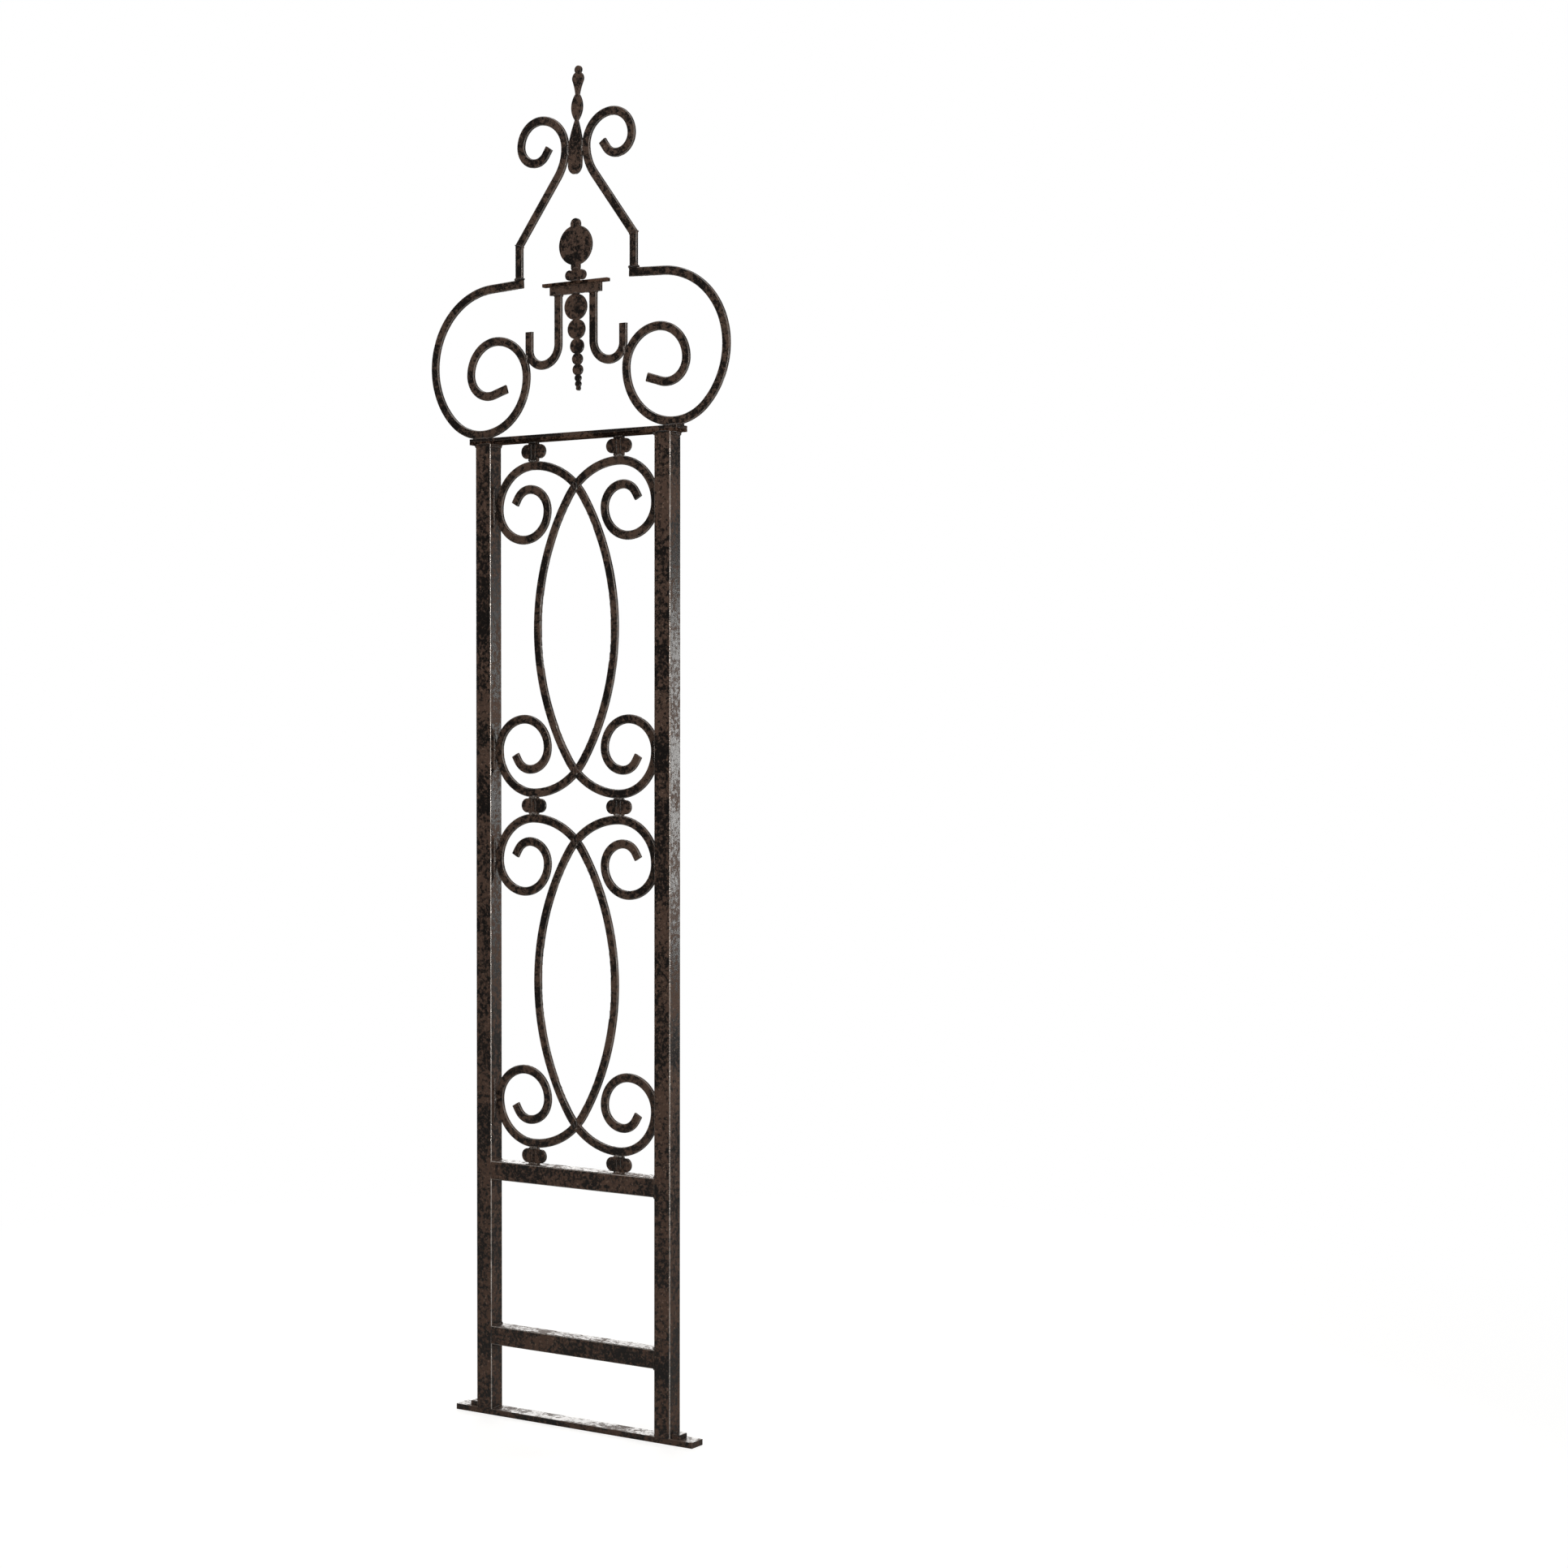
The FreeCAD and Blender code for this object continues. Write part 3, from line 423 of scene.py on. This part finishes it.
class Beads:
    """Collects the beads of one group of joints into a single piece."""

    def __init__(self, name, seed):
        self.name = name
        self.draw = random.Random(seed)
        self.form = bmesh.new()
        self.mark = self.form.verts.layers.float.new("bare")

    def lay(self, start, end, radius, bare=0.0):
        """A rippled bead from start to end, tapered at both ends and closed."""
        start, end = Vector(start), Vector(end)
        along = end - start
        length = along.length
        direction = along.normalized()
        across = direction.cross(Vector((0, 1, 0)))
        if across.length < 0.1:
            across = direction.cross(Vector((1, 0, 0)))
        across.normalize()
        upright = direction.cross(across)
        steps = max(8, int(length / (PUDDLE_PITCH / 4)))
        rings = []
        shift = self.draw.random()
        wobble = [self.draw.uniform(-1, 1) for _ in range(4)]
        for step in range(steps + 1):
            share = step / steps
            taper = math.sqrt(max(0.0, 1 - (2 * share - 1) ** 6))
            taper = max(taper, BLUNT_END)
            ripple = abs(math.sin(math.pi * (share * length / PUDDLE_PITCH + shift)))
            swell = 1 + SLOW_SWELL * math.sin(5.1 * share + wobble[0] * 3) + BEAD_SWELL * wobble[1]
            size = radius * taper * swell * (BETWEEN_PUDDLES + PUDDLE_RISE * ripple)
            drift = across * radius * WANDER * math.sin(6.3 * share + wobble[2] * 3)
            middle = start + along * share + drift
            ring = []
            for corner in range(BEAD_AROUND):
                turn = 2 * math.pi * corner / BEAD_AROUND
                rough = 1 + self.draw.uniform(-POINT_ROUGHNESS, POINT_ROUGHNESS)
                outward = across * math.cos(turn) + upright * math.sin(turn)
                spot = middle + size * rough * outward
                vert = self.form.verts.new(spot)
                vert[self.mark] = bare
                ring.append(vert)
            rings.append(ring)
        for here, there in zip(rings, rings[1:]):
            for corner in range(BEAD_AROUND):
                following = (corner + 1) % BEAD_AROUND
                self.form.faces.new((here[corner], here[following],
                                     there[following], there[corner]))
        self.form.faces.new(list(reversed(rings[0])))
        self.form.faces.new(rings[-1])

    def both_faces(self, first, second, depth, radius, bare=0.0):
        """The same bead on the front and on the back of the panel."""
        for face, bright in ((-1, bare), (1, 0.0)):
            self.lay((first[0], face * depth, first[1]), (second[0], face * depth, second[1]),
                     radius * self.draw.uniform(1 - HAND_SPREAD, 1 + HAND_SPREAD), bright)

    def finish(self):
        bmesh.ops.recalc_face_normals(self.form, faces=self.form.faces)
        mesh = bpy.data.meshes.new(self.name)
        self.form.to_mesh(mesh)
        self.form.free()
        mesh.shade_smooth()
        mesh.materials.append(weld_patina)
        piece = bpy.data.objects.new(self.name, mesh)
        bpy.context.scene.collection.objects.link(piece)
        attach(piece, "root")
        return piece


SAME_SPOT = 0.03    # contacts closer together than this up the panel are one joint


def touching_spots(first, second, reach=0.0012):
    """Where the first node's surface comes within reach of the second: (x, z) groups."""
    other = nodes[second].data
    tree = BVHTree.FromPolygons([v.co for v in other.vertices],
                                [p.vertices[:] for p in other.polygons])
    near = [v.co for v in nodes[first].data.vertices
            if tree.find_nearest(v.co, reach)[0] is not None]
    groups = []
    for spot in sorted(near, key=lambda c: c.z):
        if groups and spot.z - groups[-1][-1].z < SAME_SPOT:
            groups[-1].append(spot)
        else:
            groups.append([spot])
    return [(sum(c.x for c in g) / len(g), sum(c.z for c in g) / len(g)) for g in groups]


# Feet: a bead round each post where it stands on the base bar, and one behind each lug.
foot_welds = Beads("foot_welds", 11)
CORNER_STOP = 0.002    # beads stop this far short of a tube's rounded corner
FOOT_FILLET, FOOT_FILLET_UP, FOOT_SEAM, LUG_FILLET = 0.0017, 0.0006, 0.0010, 0.0016
for side in SIDES:
    low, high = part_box(f"{side}_post")
    fillet_z = low.z + FOOT_FILLET_UP
    for x in (low.x, high.x):
        foot_welds.lay((x, low.y + CORNER_STOP, fillet_z), (x, high.y - CORNER_STOP, fillet_z),
                       FOOT_FILLET)
    for y in (low.y, high.y):
        foot_welds.lay((low.x + CORNER_STOP, y, low.z), (high.x - CORNER_STOP, y, low.z), FOOT_SEAM)
    lug_low, lug_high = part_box(f"{side}_foot_lug")
    edge = lug_low.x if side == "right" else lug_high.x
    foot_welds.lay((edge, lug_low.y + CORNER_STOP, lug_high.z),
                   (edge, lug_high.y - CORNER_STOP, lug_high.z), LUG_FILLET)
foot_welds.finish()

# Rails: a fillet above and below each end, and a seam dressed nearly flush on both faces.
rail_welds = Beads("rail_welds", 12)
STAND_OFF = 0.0008     # a fillet's centre stands this far from the tube it runs along
RAIL_FILLET, RAIL_SEAM, RAIL_SEAM_SUNK, SEAM_STOP = 0.0029, 0.0009, 0.985, 0.001
for rail in ("lower_rail", "middle_rail"):
    low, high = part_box(rail)
    for x, inward in ((low.x, 1), (high.x, -1)):
        fillet_x = x + inward * STAND_OFF
        for z in (low.z, high.z):
            rail_welds.lay((fillet_x, low.y + CORNER_STOP, z), (fillet_x, high.y - CORNER_STOP, z),
                           RAIL_FILLET)
        for y in (low.y, high.y):
            rail_welds.lay((x, y * RAIL_SEAM_SUNK, low.z + SEAM_STOP),
                           (x, y * RAIL_SEAM_SUNK, high.z - SEAM_STOP), RAIL_SEAM)
rail_welds.finish()

# Post heads: lumpy fillets under the overhanging strip, inside and outside each post.
head_welds = Beads("post_head_welds", 13)
HEAD_RUNS = ((0.0, 0.0030), (0.0028, 0.0020))    # each run's drop below the strip, and radius
HEAD_SEAM, HEAD_SEAM_SUNK = 0.0012, 0.99
for side in SIDES:
    low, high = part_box(f"{side}_post")
    for x, outward in ((low.x, -1), (high.x, 1)):
        fillet_x = x + outward * STAND_OFF
        for drop, radius in HEAD_RUNS:
            head_welds.lay((fillet_x, low.y + SEAM_STOP, high.z - drop),
                           (fillet_x, high.y - SEAM_STOP, high.z - drop), radius)
    for y in (low.y, high.y):
        head_welds.lay((low.x + SEAM_STOP, y * HEAD_SEAM_SUNK, high.z),
                       (high.x - SEAM_STOP, y * HEAD_SEAM_SUNK, high.z), HEAD_SEAM)
head_welds.finish()

# Connectors: a short bead on both faces of each plate, at its head and at its foot.
connector_welds = Beads("connector_welds", 14)
NECK_HALF, NECK_FILLET, NECK_BARE = 0.0062, 0.0021, 0.5
RUN_PLACES, RUN_BEAD = (-0.0030, 0.0034), 0.0018   # two beads down over the plate's middle
RUN_STOP = 0.002
for row in CONNECTOR_ROWS:
    for side in SIDES:
        low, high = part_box(f"{row}_connector_{side}")
        middle = (low.x + high.x) / 2
        for z in (low.z, high.z):
            connector_welds.both_faces((middle - NECK_HALF, z), (middle + NECK_HALF, z), high.y,
                                       NECK_FILLET, bare=NECK_BARE)
        for run in RUN_PLACES:
            connector_welds.both_faces((middle + run, low.z + RUN_STOP),
                                       (middle + run, high.z - RUN_STOP), high.y, RUN_BEAD)
connector_welds.finish()

# Infill: crossing bars are tacked where they lap, and each scroll is tacked to its post.
infill_welds = Beads("infill_welds", 15)
LAP_REACH = 0.0004
FACE_SUNK = 0.0006                              # a bead on a bar's face sits this far into it
LAP_SHIFTS, LAP_SPLAY = (-0.0018, 0.0016), 1.6  # two near-upright beads over each lap
LAP_BELOW, LAP_ABOVE, LAP_BEAD = 0.0052, 0.0048, 0.0019
SPOT_FROM, SPOT_TO = (0.0022, -0.0052), (0.0046, -0.0030)   # bare spot beside the lap, x and z
SPOT_PROUD, SPOT_BEAD = 0.0008, 0.0011
TACK_HALF, TACK_BEAD = 0.010, 0.0019
SMEAR_FROM, SMEAR_TO = (-0.0052, -0.026), (-0.0046, 0.028)  # long smear up the post, y and z
SMEAR_PROUD, SMEAR_BEAD, SMEAR_BARE = 0.0001, 0.0016, 0.28
DAB_BELOW, DAB_ABOVE, DAB_PROUD, DAB_BEAD = 0.004, 0.003, 0.0016, 0.0021
DAB_BARE = {"left": 1.0, "right": 0.3}
for row in ("lower", "upper"):
    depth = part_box(f"{row}_scroll_left")[1].y
    for x, z in touching_spots(f"{row}_scroll_left", f"{row}_scroll_right", LAP_REACH):
        for shift in LAP_SHIFTS:
            infill_welds.both_faces((x + shift, z - LAP_BELOW),
                                    (x + shift * LAP_SPLAY, z + LAP_ABOVE),
                                    depth - FACE_SUNK, LAP_BEAD)
        spot_y = -depth - SPOT_PROUD
        infill_welds.lay((x + SPOT_FROM[0], spot_y, z + SPOT_FROM[1]),
                         (x + SPOT_TO[0], spot_y, z + SPOT_TO[1]), SPOT_BEAD, bare=1.0)
    for side in SIDES:
        post_low, post_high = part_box(f"{side}_post")
        face, inward = (post_high.x, 1) if side == "left" else (post_low.x, -1)
        for x, z in touching_spots(f"{row}_scroll_{side}", f"{side}_post"):
            infill_welds.both_faces((face, z - TACK_HALF), (face, z + TACK_HALF), depth, TACK_BEAD)
            smear_x = face + inward * SMEAR_PROUD
            infill_welds.lay((smear_x, SMEAR_FROM[0], z + SMEAR_FROM[1]),
                             (smear_x, SMEAR_TO[0], z + SMEAR_TO[1]), SMEAR_BEAD, bare=SMEAR_BARE)
            dab_y = -depth - DAB_PROUD
            infill_welds.lay((face, dab_y, z - DAB_BELOW), (face, dab_y, z + DAB_ABOVE), DAB_BEAD,
                             bare=DAB_BARE[side])
infill_welds.finish()

# Crest: scroll seats, riser feet, mitres, the grip on the spire, hooks and bracket.
crest_welds = Beads("crest_welds", 16)
BAR_HALF_WIDTH = 0.006
SEAT_REACH, SEAT_HALF, SEAT_BEAD = 0.0006, 0.015, 0.0020
RISER_FACE_BEAD, RISER_END_BEAD, RISER_END_UP = 0.0018, 0.0019, 0.0004
MITRE_BEAD, HOOK_HEAD_BEAD = 0.0014, 0.0017
HOOK_TACK_HALF, HOOK_TACK_BEAD, HOOK_TACK_BARE = 0.006, 0.0018, 0.4
GRIP_HALF, GRIP_SUNK, GRIP_BEAD, GRIP_BARE = 0.008, 0.0004, 0.0018, 0.45
ORNAMENT_BEAD, DROP_NECK_HALF = 0.0016, 0.005
bar_half_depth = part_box("crest_scroll_left")[1].y
seat_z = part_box("crest_bar")[1].z + STAND_OFF
for side in SIDES:
    seats = touching_spots(f"crest_scroll_{side}", "crest_bar", SEAT_REACH)
    seat_x = min(seats, key=lambda spot: spot[1])[0]
    crest_welds.both_faces((seat_x - SEAT_HALF, seat_z), (seat_x + SEAT_HALF, seat_z),
                           bar_half_depth - FACE_SUNK, SEAT_BEAD)
    low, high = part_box(f"riser_{side}")
    crest_welds.both_faces((low.x, low.z), (high.x, low.z), bar_half_depth, RISER_FACE_BEAD)
    end_z = low.z + RISER_END_UP
    for x in (low.x, high.x):
        crest_welds.lay((x, -bar_half_depth, end_z), (x, bar_half_depth, end_z), RISER_END_BEAD)
    # the mitre of riser and rafter runs from its high outer corner to its low inner one
    rafter_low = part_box(f"rafter_{side}")[0]
    climb = (high.z - rafter_low.z) / 2 * (-1 if side == "left" else 1)
    middle_x, middle_z = (low.x + high.x) / 2, (rafter_low.z + high.z) / 2
    crest_welds.both_faces((middle_x - BAR_HALF_WIDTH, middle_z - climb),
                           (middle_x + BAR_HALF_WIDTH, middle_z + climb),
                           bar_half_depth, MITRE_BEAD)
    for x, z in touching_spots(f"hook_{side}", f"crest_scroll_{side}"):
        crest_welds.both_faces((x, z - HOOK_TACK_HALF), (x, z + HOOK_TACK_HALF), bar_half_depth,
                               HOOK_TACK_BEAD, bare=HOOK_TACK_BARE)
    low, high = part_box(f"hook_{side}")
    leg = high.x - BAR_HALF_WIDTH if side == "left" else low.x + BAR_HALF_WIDTH
    crest_welds.both_faces((leg - BAR_HALF_WIDTH, high.z), (leg + BAR_HALF_WIDTH, high.z),
                           bar_half_depth, HOOK_HEAD_BEAD)
    for x, z in touching_spots(f"rafter_{side}", "spire"):
        crest_welds.both_faces((x, z - GRIP_HALF), (x, z + GRIP_HALF), bar_half_depth - GRIP_SUNK,
                               GRIP_BEAD, bare=GRIP_BARE)
plate_half_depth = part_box("finial")[1].y
for lower_piece in ("bracket_bar", "bracket_flange", "finial_collar"):
    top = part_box(lower_piece)[1].z
    crest_welds.both_faces((-BAR_HALF_WIDTH, top), (BAR_HALF_WIDTH, top), plate_half_depth,
                           ORNAMENT_BEAD)
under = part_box("bracket_bar")[0].z
crest_welds.both_faces((-DROP_NECK_HALF, under), (DROP_NECK_HALF, under), plate_half_depth,
                       ORNAMENT_BEAD)
crest_welds.finish()


# ---- Floor, light and camera --------------------------------------------------------------------
# A pale seamless studio: a white card behind, a soft box overhead, a tall strip that draws the
# post edges, a small card for the sheen low on the right post, and a fill from the front.
# The room is fully white only where the camera sees it directly.

def seen_brighter(tree, plain, bright):
    """What the camera sees directly is the bright shader; all other light sees the plain one."""
    mix = tree.nodes.new("ShaderNodeMixShader")
    path = tree.nodes.new("ShaderNodeLightPath")
    tree.links.new(path.outputs["Is Camera Ray"], mix.inputs[0])
    tree.links.new(plain, mix.inputs[1])
    tree.links.new(bright, mix.inputs[2])
    return mix.outputs[0]


floor_mesh = bpy.data.meshes.new("studio_floor")
FLOOR_REACH = 40.0
FADE_FROM, FADE_TO = 0.3, 1.9    # metres from the panel over which the floor goes plain white
corners = [(x * FLOOR_REACH, y * FLOOR_REACH, 0) for x, y in ((-1, -1), (1, -1), (1, 1), (-1, 1))]
floor_mesh.from_pydata(corners, [], [(0, 1, 2, 3)])
floor = bpy.data.objects.new("studio_floor", floor_mesh)
bpy.context.scene.collection.objects.link(floor)
floor_material = bpy.data.materials.new("pale_floor")
floor_material.use_nodes = True
floor_tree = floor_material.node_tree
paint = floor_tree.nodes["Principled BSDF"]
paint.inputs["Base Color"].default_value = (0.40, 0.40, 0.39, 1)
paint.inputs["Roughness"].default_value = 0.9
glow = floor_tree.nodes.new("ShaderNodeEmission")
glow.inputs["Color"].default_value = (1, 1, 1, 1)
glow.inputs["Strength"].default_value = 0.77
both = floor_tree.nodes.new("ShaderNodeAddShader")
floor_tree.links.new(paint.outputs[0], both.inputs[0])
floor_tree.links.new(glow.outputs[0], both.inputs[1])
sweep_white = floor_tree.nodes.new("ShaderNodeEmission")
sweep_white.inputs["Strength"].default_value = 1.0
reach = floor_tree.nodes.new("ShaderNodeVectorMath")
reach.operation = "LENGTH"
floor_tree.links.new(floor_tree.nodes.new("ShaderNodeTexCoord").outputs["Object"], reach.inputs[0])
fade = floor_tree.nodes.new("ShaderNodeMixShader")
floor_tree.links.new(remap(floor_tree, reach.outputs["Value"], FADE_FROM, FADE_TO), fade.inputs[0])
floor_tree.links.new(both.outputs[0], fade.inputs[1])
floor_tree.links.new(sweep_white.outputs[0], fade.inputs[2])
floor_tree.links.new(seen_brighter(floor_tree, paint.outputs[0], fade.outputs[0]),
                     floor_tree.nodes["Material Output"].inputs["Surface"])
floor_mesh.materials.append(floor_material)

world = bpy.data.worlds.new("studio")
bpy.context.scene.world = world
world.use_nodes = True
dim = world.node_tree.nodes["Background"]
dim.inputs["Color"].default_value = (1.0, 0.95, 0.91, 1)
dim.inputs["Strength"].default_value = 0.10
white = world.node_tree.nodes.new("ShaderNodeBackground")
white.inputs["Color"].default_value = (1.0, 1.0, 1.0, 1)
world.node_tree.links.new(seen_brighter(world.node_tree, dim.outputs[0], white.outputs[0]),
                          world.node_tree.nodes["World Output"].inputs["Surface"])
bpy.context.scene.view_settings.view_transform = "Standard"


def soft_light(name, place, aim, width, height, power, colour=(1.0, 1.0, 1.0)):
    light = bpy.data.lights.new(name, "AREA")
    light.color = colour
    light.shape = "RECTANGLE"
    light.size = width
    light.size_y = height
    light.energy = power
    item = bpy.data.objects.new(name, light)
    item.location = place
    item.rotation_euler = (Vector(aim) - Vector(place)).to_track_quat("-Z", "Y").to_euler()
    item.visible_camera = False
    bpy.context.scene.collection.objects.link(item)


panel_middle = (0.0, 0.0, 0.9)
soft_light("overhead", (-0.4, -0.6, 4.0), panel_middle, 2.4, 2.4, 38.0)
soft_light("white_card", (-2.3, 3.2, 1.5), panel_middle, 3.0, 3.0, 92.0, (1.0, 0.98, 0.96))
soft_light("edge_strip", (3.0, -2.1, 1.0), panel_middle, 0.45, 2.6, 46.0, (1.0, 0.96, 0.92))
soft_light("sheen_card", (0.84, 0.95, 0.86), (0.16, 0.0, 0.88), 0.20, 0.55, 4.0, (1.0, 0.98, 0.95))
soft_light("front_fill", (1.5, -3.9, 2.6), panel_middle, 1.4, 1.4, 30.0, (1.0, 0.90, 0.82))

camera_data = bpy.data.cameras.new("camera")
camera_data.sensor_width = 36.0
camera_data.lens = 64.03
camera_data.shift_x = 0.0988
camera_data.shift_y = 0.0137
camera = bpy.data.objects.new("camera", camera_data)
camera.location = (2.137, -3.033, 0.928)
camera.rotation_euler = (math.radians(90 - 1.493), 0, math.radians(34.08))
bpy.context.scene.collection.objects.link(camera)
bpy.context.scene.camera = camera
